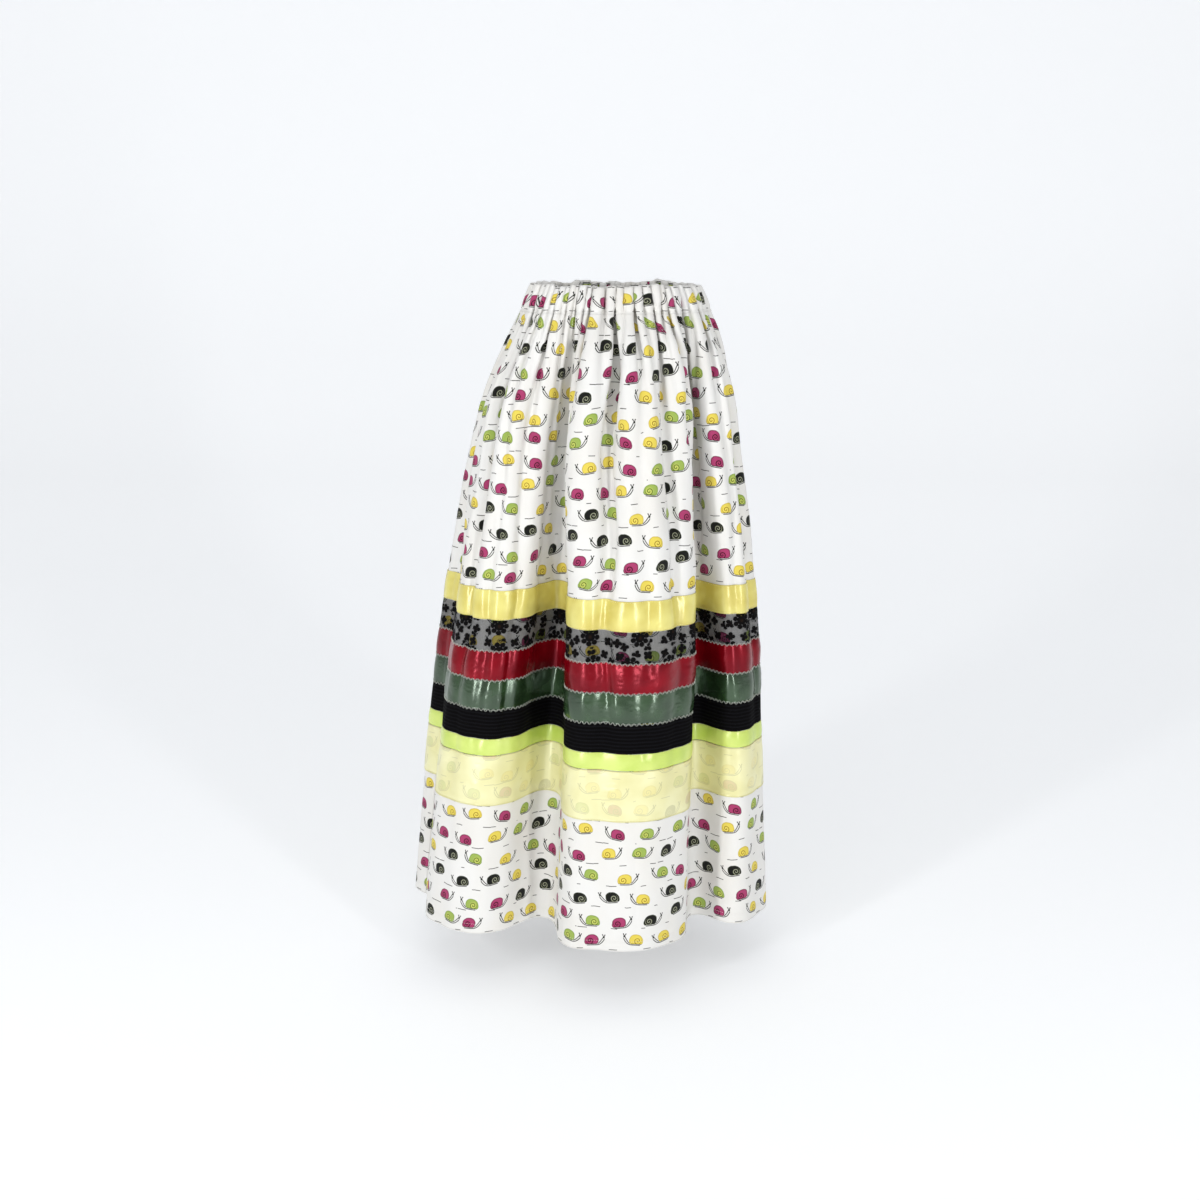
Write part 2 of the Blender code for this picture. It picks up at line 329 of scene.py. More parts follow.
def cloth_mesh(name, outer, inner, drops, closed, across, materials):
    """Cloth with two faces and turned edges, from rows of outer and inner points. It carries its
    place on the flat cloth in metres, and a layout for baking with its outer face large."""
    rows, columns = outer.shape[:2]
    wide = columns if closed else columns - 1
    index = np.arange(rows * columns).reshape(rows, columns)
    flat_u, share_u = np.linspace(*across, wide + 1), np.linspace(0, 1, wide + 1)
    share_v = np.linspace(1, 0, rows)
    heights = LENGTH - np.asarray(drops)
    quads, flats, bakes = [], [], []

    def lay(corner_rows, corner_columns, layers, area, side, up):
        """Adds a run of faces from the row, column and layer of each corner, where the outer layer
        is 0 and the inner 1, and from its shares of the way across and up its baking area."""
        corner_rows, corner_columns = np.broadcast_arrays(corner_rows, corner_columns)
        left, low, width, height = area
        quads.append(index[corner_rows, corner_columns % columns] + layers * index.size)
        flats.append(np.stack([flat_u[corner_columns], heights[corner_rows]], axis=-1))
        bakes.append(np.stack(np.broadcast_arrays(left + width * side, low + height * up), axis=-1))

    grid = np.meshgrid(np.arange(rows - 1), np.arange(wide), indexing="ij")
    row, column = (places.ravel()[:, None] for places in grid)
    row, column = row + RETURNING, column + CROSSING
    lay(row, column, 0, OUTER_AREA, share_u[column], share_v[row])
    row, column = row[:, ::-1], column[:, ::-1]
    lay(row, column, 1, INNER_AREA, share_u[column], share_v[row])
    start = np.arange(wide)[:, None]
    for edge, step, area in ((0, 1 - RETURNING, UPPER_STRIP), (rows - 1, RETURNING, LOWER_STRIP)):
        lay(edge, start + step, CROSSING, area, CROSSING, share_u[start + step])
    if not closed:
        start = np.arange(rows - 1)[:, None]
        lay(start + CROSSING, 0, RETURNING, LEFT_STRIP, RETURNING, share_v[start + CROSSING])
        lay(start + RETURNING, columns - 1, CROSSING, RIGHT_STRIP, CROSSING, share_v[start + RETURNING])
    faces = np.concatenate(quads)
    mesh = bpy.data.meshes.new(name)
    points = np.concatenate([outer.reshape(-1, 3), inner.reshape(-1, 3)])
    mesh.from_pydata(points.tolist(), [], faces.tolist())
    for layer, places in (("cloth", flats), ("OFBake", bakes)):
        values = np.concatenate([place.reshape(-1, 2) for place in places]).astype(np.float32)
        mesh.uv_layers.new(name=layer).data.foreach_set("uv", values.ravel())
    for material in materials:
        mesh.materials.append(material)
    if len(materials) > 1:
        which = np.zeros(len(faces), np.int32)
        which[len(quads[0]) : 2 * len(quads[0])] = 1
        mesh.polygons.foreach_set("material_index", which)
    mesh.shade_smooth()
    piece = bpy.data.objects.new(name, mesh)
    scene.collection.objects.link(piece)
    return piece


def feed(tree, entry, value):
    """Gives a node's input a varying number, another node's output, or a constant."""
    if isinstance(value, Field):
        value = value.socket
    if isinstance(value, bpy.types.NodeSocket):
        tree.links.new(value, entry)
    else:
        entry.default_value = value


class Field:
    """A number that varies over a surface, worked out in a node tree by ordinary arithmetic."""

    def __init__(self, tree, socket):
        self.tree, self.socket = tree, socket

    def math(self, operation, *others):
        node = self.tree.nodes.new("ShaderNodeMath")
        node.operation = operation
        for entry, value in zip(node.inputs, (self, *others)):
            feed(self.tree, entry, value)
        return Field(self.tree, node.outputs[0])

    def __add__(self, other):
        return self.math("ADD", other)

    def __sub__(self, other):
        return self.math("SUBTRACT", other)

    def __mul__(self, other):
        return self.math("MULTIPLY", other)

    def __truediv__(self, other):
        return self.math("DIVIDE", other)

    def __pow__(self, other):
        return self.math("POWER", other)

    def __mod__(self, other):
        return self.math("FLOORED_MODULO", other)

    def __abs__(self):
        return self.math("ABSOLUTE")

    def between(self, low, high):
        """0 at low and 1 at high, eased. High may be the lower of the two."""
        node = self.tree.nodes.new("ShaderNodeMapRange")
        node.interpolation_type = "SMOOTHSTEP"
        for entry, value in zip(node.inputs, (self, low, high)):
            feed(self.tree, entry, value)
        return Field(self.tree, node.outputs[0])


def distance(x, y):
    return (x * x + y * y).math("SQRT")


def vector_of(tree, *values):
    node = tree.nodes.new("ShaderNodeCombineXYZ")
    for entry, value in zip(node.inputs, values):
        feed(tree, entry, value)
    return node.outputs[0]


def split_vector(tree, socket):
    node = tree.nodes.new("ShaderNodeSeparateXYZ")
    tree.links.new(socket, node.inputs[0])
    return [Field(tree, output) for output in node.outputs]


def random_three(tree, x, y, seed):
    """Three numbers from 0 to 1 that differ from cell to cell."""
    node = tree.nodes.new("ShaderNodeTexWhiteNoise")
    node.noise_dimensions = "3D"
    tree.links.new(vector_of(tree, x, y, seed), node.inputs["Vector"])
    return split_vector(tree, node.outputs["Color"])


def soft_noise(tree, x, y, seed, detail=2.0):
    """A cloudy number, mostly from 0.3 to 0.7, with one patch to each unit of x and y."""
    node = tree.nodes.new("ShaderNodeTexNoise")
    node.noise_dimensions = "3D"
    tree.links.new(vector_of(tree, x, y, seed), node.inputs["Vector"])
    node.inputs["Scale"].default_value = 1
    node.inputs["Detail"].default_value = detail
    return Field(tree, node.outputs[0])


def mixed(tree, mask, below, above):
    """A colour painted over another where the mask is 1."""
    node = tree.nodes.new("ShaderNodeMix")
    node.data_type = "RGBA"
    feed(tree, node.inputs[0], mask)
    for entry, colour in ((node.inputs[6], below), (node.inputs[7], above)):
        feed(tree, entry, (*colour, 1) if isinstance(colour, tuple) else colour)
    return node.outputs[2]


def new_group(name, inputs, outputs):
    """An empty shader group, its tree, and its inputs as sockets."""
    tree = bpy.data.node_groups.new(name, "ShaderNodeTree")
    kinds = {"vector": "NodeSocketVector", "number": "NodeSocketFloat", "colour": "NodeSocketColor"}
    for label, kind, value in inputs:
        socket = tree.interface.new_socket(name=label, in_out="INPUT", socket_type=kinds[kind])
        if value is not None:
            socket.default_value = value
    for label, kind in outputs:
        tree.interface.new_socket(name=label, in_out="OUTPUT", socket_type=kinds[kind])
    entry = tree.nodes.new("NodeGroupInput")
    return tree, entry.outputs, tree.nodes.new("NodeGroupOutput").inputs


def srgb(code):
    """A web colour as linear red, green and blue."""
    parts = [int(code[place : place + 2], 16) / 255 for place in (0, 2, 4)]
    return tuple(part / 12.92 if part <= 0.04045 else ((part + 0.055) / 1.055) ** 2.4 for part in parts)


# The print, in millimetres on the flat cloth. Each cell holds one snail, each row of cells is
# shifted along by its own amount, and the whole repeats every six columns and eight rows.
CELL_WIDE, CELL_HIGH = 41.0, 28.5
REPEAT_COLUMNS, REPEAT_ROWS = 6, 8
LINE = 0.54  # half the width of a drawn line
SHELL_MIDDLE = 4.4  # how far its widest level is above its base
SHELL_HALF, SHELL_RISE, SHELL_FALL = 8.9, 9.0, 6.0  # from its middle to its side, top and bottom
COIL_PITCH, COIL_REACH = 2.9, 5.0  # of the spiral on the shell
HEAD_X, HEAD_Y = 15.9, 9.7
FEELER_TIPS = ((14.3, 13.1), (17.4, 12.9))
INK = srgb("1E2019")

# One row for each kind of snail: the share of all snails at which it starts, and the colours of its
# shell, the shell's middle, the spiral, the rim and the line it stands on.
Snail = namedtuple("Snail", "start shell heart whorl rim foot")
SNAILS = [
    Snail(0.000, "DCC854", "E2CF5C", "94761C", "BCA43A", "3E3A14"),
    Snail(0.340, "A43A66", "9C325C", "2E0318", "560C30", "3E0820"),
    Snail(0.580, "0A0B07", "0C0E09", "8E9078", "2A311A", "343A20"),
    Snail(0.835, "96AC52", "BEC460", "4E641C", "748C34", "323E14"),
]


def snail_colour(tree, choice, part):
    """This part's colour on the kind of snail that a number from 0 to 1 picks."""
    node = tree.nodes.new("ShaderNodeValToRGB")
    ramp = node.color_ramp
    ramp.interpolation = "CONSTANT"
    while len(ramp.elements) < len(SNAILS):
        ramp.elements.new(0.5)
    for element, snail in zip(ramp.elements, SNAILS):
        element.position = snail.start
        element.color = (*srgb(getattr(snail, part)), 1)
    feed(tree, node.inputs[0], choice)
    return node.outputs[0]


def draw_print():
    tree, given, made = new_group(
        "Snail print",
        [("Cloth", "vector", None), ("Ground", "colour", (0.9, 0.9, 0.88, 1))],
        [("Colour", "colour"), ("Ink", "number")],
    )
    metres = split_vector(tree, given["Cloth"])
    x, y = metres[0] * 1000, metres[1] * 1000
    row = (y / CELL_HIGH).math("FLOOR")
    in_row = row % REPEAT_ROWS
    shift = random_three(tree, in_row, 0.0, 5.0)[0] * 0.45 + (row % 2) * 0.5
    x = x + shift * CELL_WIDE
    column = (x / CELL_WIDE).math("FLOOR")
    in_column = column % REPEAT_COLUMNS
    cell_x = x - (column + 0.5) * CELL_WIDE
    cell_y = y - (row + 0.5) * CELL_HIGH
    place_x, place_y, tilt = random_three(tree, in_column, in_row, 1.0)
    facing, choice, spare = random_three(tree, in_column, in_row, 12.0)
    dash_x, dash_tilt, dash_long = random_three(tree, in_column, in_row, 3.0)

    # The snail faces right, with the middle of the shell's base at nought.
    flip = (facing - 0.42).math("SIGN")
    near_x = (cell_x - (place_x - 0.5) * 13) * flip
    near_y = cell_y - (place_y - 0.5) * 9 - 0.8
    angle = (tilt - 0.45) * 0.42
    cosine, sine = angle.math("COSINE"), angle.math("SINE")
    x = near_x * cosine + near_y * sine + 4
    y = near_y * cosine - near_x * sine + 6
    hand = soft_noise(tree, x * 0.22, y * 0.22, spare * 40) - 0.5

    above = y - SHELL_MIDDLE
    leaning = x - above * 0.12
    wide = (abs(leaning) / SHELL_HALF) ** SQUARENESS
    half_high = above.between(-0.5, 0.5) * (SHELL_RISE - SHELL_FALL) + SHELL_FALL
    high = (abs(above) / half_high) ** SQUARENESS
    inside = (((wide + high) ** (1 / SQUARENESS) * -1 + 1) * 7).math("MINIMUM", y) + hand * 0.8
    shell = inside.between(-0.2, 0.2)
    from_x, from_y = x + 1.9, y - 4.9
    radius = distance(from_x, from_y)
    turn = from_y.math("ARCTAN2", from_x) / (2 * math.pi)
    coil = abs((radius / COIL_PITCH + turn + 0.25) % 1 - 0.5) * COIL_PITCH
    reached = radius.between(COIL_REACH + 0.2, COIL_REACH - 0.2)
    whorl = coil.between(0.74, 0.34) * reached * radius.between(0.3, 0.6)
    whorl = whorl * inside.between(0.5, 0.8)
    heart = radius.between(6.0, 2.5)
    rim = inside.between(1.2, 0.5)
    foot_line = abs(y - 0.3 - hand * 0.8).between(0.85, 0.45) * abs(leaning + 0.6).between(7.6, 6.8)

    colour = snail_colour(tree, choice, "shell")
    painted = {"heart": heart, "rim": rim * 0.75, "whorl": whorl, "foot": foot_line * 0.85}
    for part, mask in painted.items():
        colour = mixed(tree, mask, colour, snail_colour(tree, choice, part))

    # The body is left white between two drawn lines, the lower one running back under the shell.
    ahead = (x - 3.0).math("MAXIMUM", 0)
    lower = ahead**3 * 0.0034 - 1.0
    steep = ahead**2 * 0.0102
    under = abs(y - lower) / (steep * steep + 1).math("SQRT")
    belly = under.between(LINE + 0.18, LINE - 0.18) * x.between(-6.5, -5.0) * x.between(16.9, 16.5)
    ahead = (x - 7.5).math("MAXIMUM", 0)
    upper = ahead**1.5 * 0.42 + 1.0
    steep = ahead**0.5 * 0.63
    over = abs(y - upper) / (steep * steep + 1).math("SQRT")
    neck = over.between(LINE + 0.14, LINE - 0.18) * x.between(7.4, 8.0) * x.between(15.4, 15.0)
    from_head, over_head = x - HEAD_X, y - HEAD_Y
    head = distance(from_head, over_head * 0.8).between(1.35, 0.95)
    lines = belly.math("MAXIMUM", neck).math("MAXIMUM", head)
    for tip_x, tip_y in FEELER_TIPS:
        step_x, step_y = tip_x - HEAD_X, tip_y - HEAD_Y
        share = (from_head * step_x + over_head * step_y) / (step_x**2 + step_y**2)
        share = share.math("MAXIMUM", 0).math("MINIMUM", 1)
        stalk = distance(from_head - share * step_x, over_head - share * step_y)
        stalk = stalk.between(LINE + 0.14, LINE - 0.18)
        tip = distance(x - tip_x, y - tip_y).between(0.95, 0.60)
        lines = lines.math("MAXIMUM", stalk).math("MAXIMUM", tip)
    lines = lines * (shell * -1 + 1)

    # One dash to a cell, near its lower edge and mostly between two snails.
    away = (cell_x + CELL_WIDE) % CELL_WIDE - CELL_WIDE / 2 - (dash_x - 0.5) * 16
    slope = (dash_tilt - 0.5) * 0.22
    reach = dash_long * 3.6 + 3.4
    past = (abs(away) - reach).math("MAXIMUM", 0)
    dash = distance(past, cell_y + (CELL_HIGH / 2 - 2.3) - away * slope).between(0.62, 0.30)

    marks = lines.math("MAXIMUM", dash)
    ground = mixed(tree, marks, given["Ground"], INK)
    tree.links.new(mixed(tree, shell, ground, colour), made["Colour"])
    tree.links.new(shell.math("MAXIMUM", marks).socket, made["Ink"])
    return tree


def draw_weave():
    tree, given, made = new_group(
        "Plain weave",
        [("Cloth", "vector", None), ("Threads per metre", "number", 2000)],
        [("Height", "number"), ("Cloud", "number")],
    )
    metres = split_vector(tree, given["Cloth"])
    pitch = Field(tree, given["Threads per metre"]) * math.pi
    warp, weft = (metres[0] * pitch).math("SINE"), (metres[1] * pitch).math("SINE")
    over = (warp * weft).between(-0.1, 0.1)
    height = abs(warp) * over + abs(weft) * (over * -1 + 1)
    slub = soft_noise(tree, metres[0] * 40, metres[1] * 900, 2.0)
    slub = slub + soft_noise(tree, metres[0] * 900, metres[1] * 40, 4.0)
    feed(tree, made["Height"], height * 0.5 + slub * 0.6)
    feed(tree, made["Cloud"], soft_noise(tree, metres[0] * 14, metres[1] * 9, 6.0, 3.0))
    return tree


print_group = draw_print()
weave_group = draw_weave()


def new_material(name, **settings):
    """A material with its Principled shader, and the constants that are the same all over it."""
    material = bpy.data.materials.new(name)
    material.use_nodes = True
    shader = material.node_tree.nodes["Principled BSDF"]
    for label, value in settings.items():
        shader.inputs[label.replace("_", " ")].default_value = value
    return material, material.node_tree, shader


def place_group(tree, group, coordinates, **values):
    """The group placed in a material, reading this place on the cloth."""
    node = tree.nodes.new("ShaderNodeGroup")
    node.node_tree = group
    tree.links.new(coordinates, node.inputs["Cloth"])
    for label, value in values.items():
        node.inputs[label.replace("_", " ")].default_value = value
    return node.outputs


def flat_cloth(tree):
    node = tree.nodes.new("ShaderNodeUVMap")
    node.uv_map = "cloth"
    return node.outputs[0]


def add_bump(tree, shader, height, strength, depth):
    node = tree.nodes.new("ShaderNodeBump")
    node.inputs["Strength"].default_value = strength
    node.inputs["Distance"].default_value = depth
    tree.links.new(height, node.inputs["Height"])
    tree.links.new(node.outputs[0], shader.inputs["Normal"])


WHITE_COTTON = srgb("E2E1DE")
CREAM_COTTON = srgb("DCD8D0")


def make_cotton(name, faded):
    """Printed cotton, or its wrong side, where the print shows through faintly."""
    material, tree, shader = new_material(name, Roughness=0.88, Sheen_Weight=0.12, Specular_IOR_Level=0.25)
    cloth = flat_cloth(tree)
    weave = place_group(tree, weave_group, cloth, Threads_per_metre=1700.0)
    ground = mixed(tree, Field(tree, weave["Cloud"]).between(0.35, 0.7) * 0.5, WHITE_COTTON, CREAM_COTTON)
    drawing = place_group(tree, print_group, cloth)
    tree.links.new(ground, drawing["Colour"].node.inputs["Ground"])
    colour = drawing["Colour"]
    if faded:
        colour = mixed(tree, faded, colour, WHITE_COTTON)
    tree.links.new(colour, shader.inputs["Base Color"])
    add_bump(tree, shader, weave["Height"], 0.25, 0.00012)
    return material


printed_cotton = make_cotton("printed_cotton", 0.0)
wrong_side = make_cotton("printed_cotton_wrong_side", 0.78)


def spaced(start, end, step):
    return list(np.linspace(start, end, max(2, round((end - start) / step) + 1)))


RIBBON_NODES = ["yellow", "lace", "red", "green", "black", "lime", "pale"]
ribbon_span = {}
for label in RIBBON_NODES:
    lowest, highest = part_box(f"{label}_ribbon")
    ribbon_span[label] = (TOP_Z - highest.z, TOP_Z - lowest.z)
RIBBONS_TOP, RIBBONS_END = ribbon_span["yellow"][0], ribbon_span["pale"][1]
PANEL_TUCK = 0.0015  # of the panel up behind the casing's lower edge
TUCKED_IN = 0.0005  # how far in the panel stands there
HEM_LINE = LENGTH - HEM_DEPTH  # the upper edge of the turned-up cotton, where it is stitched
SEWN_IN = 0.0003  # how far in the stitches draw the cotton
SEAM_TUCK = 0.0008  # how far in the panels turn at a side seam
SEAM_GAP = 0.0002  # from each panel to the line of the seam
# Rows from the top edge down, each stretch with its own spacing.
panel_drops = (
    spaced(CASING_HEIGHT - PANEL_TUCK, 0.130, 0.0031)
    + spaced(0.130, RIBBONS_TOP, 0.0066)[1:]
    + spaced(RIBBONS_TOP, RIBBONS_END, 0.0085)[1:]
    + spaced(RIBBONS_END, HEM_LINE, 0.0065)[1:]
    + [HEM_LINE + 0.0012]
    + spaced(HEM_LINE + 0.0060, LENGTH, 0.0035)
)
outer_rows, inner_rows = [], []
for drop in panel_drops:
    tucked = -TUCKED_IN if drop < CASING_HEIGHT else 0.0
    sewn = -SEWN_IN if abs(drop - HEM_LINE) < 0.0008 else 0.0
    turned_up = drop > HEM_LINE
    outer_rows.append(cloth_row(drop, tucked + sewn))
    inner_rows.append(cloth_row(drop, tucked + sewn - (HEM_WALL if turned_up else PANEL_WALL)))
outer_rows, inner_rows = np.array(outer_rows), np.array(inner_rows)
half = COLUMNS // 2
shown = panel_drops[-1] - panel_drops[0]
for name, node, first in (("printed_front", "front_panel", 0), ("printed_back", "back_panel", half)):
    pick = np.arange(first, first + half + 1) % COLUMNS
    outer, inner = outer_rows[:, pick].copy(), inner_rows[:, pick].copy()
    inward = inner - outer
    inward /= np.linalg.norm(inward, axis=2, keepdims=True)
    for edge, beside in ((0, 1), (-1, -2)):
        towards = outer[:, beside] - outer[:, edge]
        towards /= np.linalg.norm(towards, axis=1, keepdims=True)
        outer[:, edge] += towards * SEAM_GAP + inward[:, edge] * SEAM_TUCK
        inner[:, edge] += towards * SEAM_GAP + inward[:, edge] * SEAM_TUCK
    start = first * CUT_WIDTH / COLUMNS
    across = (start, start + CUT_WIDTH / 2)
    panel = cloth_mesh(name, outer, inner, panel_drops, False, across, (printed_cotton, wrong_side))
    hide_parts(node)
    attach(panel, "root")

# --- Waist casing --------------------------------------------------------------------------------
# The top of the cotton folded over to the inside and stitched down, with elastic in the tube, which
# draws it up into tight, uneven gathers. The row of stitching is 3 mm above its lower edge.

# Its cross-section, from the lower edge of the outer layer, over the top and down the inside: how
# far out it stands from the cloth's line, and its drop.
CASING_STITCHED = 0.0308
CASING_PROFILE = [
    (0.0000, CASING_HEIGHT),
    (0.0000, 0.0322),
    (-0.0005, CASING_STITCHED),
    (0.0003, 0.0290),
    (0.0012, 0.0250),
    (0.0016, 0.0190),
    (0.0015, 0.0130),
    (0.0012, 0.0075),
    (0.0008, 0.0035),
    (0.0002, 0.0010),
    (-0.0008, 0.0002),
    (-0.0018, 0.0012),
    (-0.0024, 0.0040),
    (-0.0027, 0.0110),
    (-0.0028, 0.0200),
    (-0.0024, 0.0270),
    (-0.0016, CASING_STITCHED),
    (-0.0020, 0.0335),
]
CASING_LAYER = 0.0003  # half the thickness of one layer


def casing_row(out, drop, ruffle_share):
    at = ring(drop)
    ruffle = np.array([noise.noise(Vector((across * 16, 1.3, 0.4))) for across in ACROSS])
    ruffle += 0.6 * np.array([noise.noise(Vector((across * 55, 5.3, 2.4))) for across in ACROSS])
    seam = np.minimum(ACROSS, CUT_WIDTH - ACROSS)
    height = TOP_Z - drop + 0.0042 * ruffle * np.clip(seam / 0.05, 0, 1) * ruffle_share
    return np.column_stack([at[:, :2] + out * at[:, 2:], height])


profile = np.array(CASING_PROFILE)
along = np.gradient(profile, axis=0)
across_profile = np.stack([-along[:, 1], along[:, 0]], axis=1)
across_profile /= np.linalg.norm(across_profile, axis=1, keepdims=True)
casing_faces = []
for side in (CASING_LAYER, -CASING_LAYER):
    rows = []
    for (out, drop), (step_out, step_drop) in zip(profile, across_profile):
        ruffle_share = max(0.0, 1 - drop / 0.020)
        rows.append(casing_row(out + side * step_out, max(drop + side * step_drop, 0), ruffle_share))
    casing_faces.append(np.array(rows))
# Rows run from the top down on the other pieces, and here from the inside's lower edge up, over the
# top and down the outside.
flat_drops = np.append(0, np.cumsum(np.hypot(*np.diff(profile, axis=0).T)))
flat_drops = CASING_HEIGHT - flat_drops
casing_outer, casing_inner = casing_faces[0][::-1], casing_faces[1][::-1]
gathered_waist = cloth_mesh(
    "gathered_waist", casing_outer, casing_inner, flat_drops[::-1], True, (0, CUT_WIDTH), (printed_cotton,)
)
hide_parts("waist_casing")
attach(gathered_waist, "root")

# --- Ribbons -------------------------------------------------------------------------------------
# Seven ribbons lie on the cotton all the way round, each stitched down along both edges: four of
# satin, one of sheer net with flocked black flowers, one matt ribbed trim, and one wide sheer
# satin. Between their stitching they stand up a little and ripple.

RIBBON_WALL = 0.0003
RIBBON_LIFT = 0.0006  # of the edges above the cotton
# Ribbon: how far the middle stands up, the size of its ripples, and their number to a metre.
Ribbon = namedtuple("Ribbon", "label slot bulge ripple ripples")
RIBBONS = [
    Ribbon("yellow", "yellow_satin", 0.0008, 0.0010, 32),
    Ribbon("lace", "black_lace", 0.0003, 0.0003, 26),
    Ribbon("red", "red_satin", 0.0009, 0.0009, 28),
    Ribbon("green", "green_satin", 0.0008, 0.0013, 40),
    Ribbon("black", "black_trim", 0.0003, 0.0002, 20),
    Ribbon("lime", "lime_satin", 0.0006, 0.0008, 38),
    Ribbon("pale", "pale_sheer", 0.0006, 0.0006, 20),
]


def draw_satin():
    """Fine threads along the ribbon, and the wandering upright ripples that catch the light."""
    tree, given, made = new_group(
        "Satin",
        [("Cloth", "vector", None), ("Seed", "number", 0.0), ("Ripples per metre", "number", 36.0)],
        [("Height", "number"), ("Cloud", "number")],
    )
    x, y, _ = split_vector(tree, given["Cloth"])
    seed = Field(tree, given["Seed"])
    wander = (soft_noise(tree, x * 30, y * 60, seed + 3) - 0.5) * 0.020
    ripples = Field(tree, given["Ripples per metre"])
    height = soft_noise(tree, (x + wander) * ripples, y * 8, seed, 0.8)
    threads = (y * (2 * math.pi * 2600)).math("SINE") * 0.0005
    feed(tree, made["Height"], height + threads)
    feed(tree, made["Cloud"], soft_noise(tree, x * 25, y * 25, seed + 9))
    return tree


satin_group = draw_satin()


def make_satin(name, colour, deep, glint, seed, roughness, ripples=36.0, shown=0.0):
    """Satin with its own colour of highlight. Sheer satin lets some of the print be seen."""
    material, tree, shader = new_material(name, Roughness=roughness, Specular_IOR_Level=1.0)
    shader.inputs["Specular Tint"].default_value = (*glint, 1)
    cloth = flat_cloth(tree)
    made = place_group(tree, satin_group, cloth, Seed=seed, Ripples_per_metre=ripples)
    shade = mixed(tree, Field(tree, made["Cloud"]).between(0.3, 0.7), colour, deep)
    if shown:
        drawing = place_group(tree, print_group, cloth)
        tree.links.new(shade, drawing["Colour"].node.inputs["Ground"])
        shade = mixed(tree, shown, shade, drawing["Colour"])
    tree.links.new(shade, shader.inputs["Base Color"])
    add_bump(tree, shader, made["Height"], 0.8, 0.0062)
    return material


def draw_flowers():
    """Large flocked flowers with two kinds of small one between, in millimetres on the flat ribbon."""
    masks = [("Flock", "number"), ("Middle", "number")]
    tree, given, made = new_group("Flocked flowers", [("Cloth", "vector", None)], masks)
    x, y, _ = split_vector(tree, given["Cloth"])
    x, y = x * 1000, y * 1000
    flock = middle = None
    # Cell size, jitter, petals, how far out they sit, their radius and the middle's, and a seed.
    for wide, high, jitter, petals, out, petal, heart, seed in (
        (50, 37, 16, 8, 8.6, 3.1, 5.6, 11.0),
        (18.5, 16.5, 6, 4, 3.5, 2.45, 1.7, 23.0),
        (27, 23, 12, 4, 3.3, 2.3, 1.6, 37.0),
    ):
        cells_x, cells_y = x / wide + seed * 0.137, y / high + seed * 0.219
        column, row = cells_x.math("FLOOR"), cells_y.math("FLOOR")
        place_x, place_y, turn = random_three(tree, column, row, seed)
        from_x = (cells_x - column - 0.5) * wide - (place_x - 0.5) * jitter
        from_y = (cells_y - row - 0.5) * high - (place_y - 0.5) * jitter * 0.5
        radius = distance(from_x, from_y)
        angle = from_y.math("ARCTAN2", from_x) + turn * 6.3
        sector = 2 * math.pi / petals
        angle = (angle % sector) - sector / 2
        lobe = distance(radius * angle.math("COSINE") - out, radius * angle.math("SINE"))
        shape = lobe.between(petal + 0.25, petal - 0.25)
        shape = shape.math("MAXIMUM", radius.between(heart + 0.3, heart - 0.3))
        dot = radius.between(heart * 0.45, heart * 0.25)
        if flock is None:
            flock, middle, clear = shape, dot, radius.between(12.6, 13.2)
        else:
            flock = flock.math("MAXIMUM", shape * clear)
            middle = middle.math("MAXIMUM", dot * clear)
            clear = clear * radius.between(6.2, 6.6)
    tree.links.new(flock.socket, made["Flock"])
    tree.links.new(middle.socket, made["Middle"])
    return tree


def through_two(cover):
    """What each of a sheer ribbon's two faces covers, for them to cover this much together."""
    return 1 - math.sqrt(1 - cover)


def make_lace(name):
    material, tree, shader = new_material(name, Roughness=0.9, Specular_IOR_Level=0.12)
    cloth = flat_cloth(tree)
    flowers = place_group(tree, draw_flowers(), cloth)
    weave = place_group(tree, weave_group, cloth, Threads_per_metre=900.0)
    flock = Field(tree, flowers["Flock"])
    net = srgb("20222A")
    colour = mixed(tree, flock, net, srgb("050404"))
    colour = mixed(tree, Field(tree, flowers["Middle"]) * 0.5, colour, srgb("2A1A10"))
    tree.links.new(colour, shader.inputs["Base Color"])
    sheer = Field(tree, weave["Height"]).between(0.3, 1.3) * 0.10 + through_two(0.42)
    alpha = flock.math("MAXIMUM", sheer)
    tree.links.new(alpha.socket, shader.inputs["Alpha"])
    add_bump(tree, shader, flock.socket, 0.8, 0.0005)
    return material


def make_trim(name):
    """Matt black trim, in rows of small chained loops."""
    material, tree, shader = new_material(name, Roughness=0.92, Specular_IOR_Level=0.06)
    x, y, _ = split_vector(tree, flat_cloth(tree))
    row = (y * (2 * math.pi / 0.0046)).math("SINE")
    wave = (x * (2 * math.pi / 0.0052) + (y / 0.0046).math("FLOOR") * 2.6).math("SINE")
    height = row.between(-0.6, 0.9) * 0.7 + abs(wave) * row.between(-0.2, 0.6) * 0.5
    # The raised loops are painted lighter and the hollows between the rows darker: painted shade, on top of
    # the bump.
    colour = mixed(tree, height.between(0.0, 1.1), srgb("060506"), srgb("101013"))
    tree.links.new(colour, shader.inputs["Base Color"])
    add_bump(tree, shader, height.socket, 0.7, 0.0006)
    return material


ribbon_materials = {
    "yellow": make_satin("yellow_satin", srgb("E2D97E"), srgb("CEBE5C"), srgb("FFFCE0"), 1.0, 0.24),
    "lace": make_lace("black_lace"),
    "red": make_satin("red_satin", srgb("7E0412"), srgb("5E010A"), srgb("FF7484"), 5.0, 0.22),
    "green": make_satin("green_satin", srgb("2C4427"), srgb("1A2A17"), srgb("EAFFEC"), 8.0, 0.20, 40.0),
    "black": make_trim("black_trim"),
    "lime": make_satin("lime_satin", srgb("D2E278"), srgb("BED45E"), srgb("FBFFE2"), 12.0, 0.25),
    "pale": make_satin("pale_sheer", srgb("E8E5B4"), srgb("DED99E"), srgb("FFFDE8"), 17.0, 0.28, 26.0, 0.24),
}


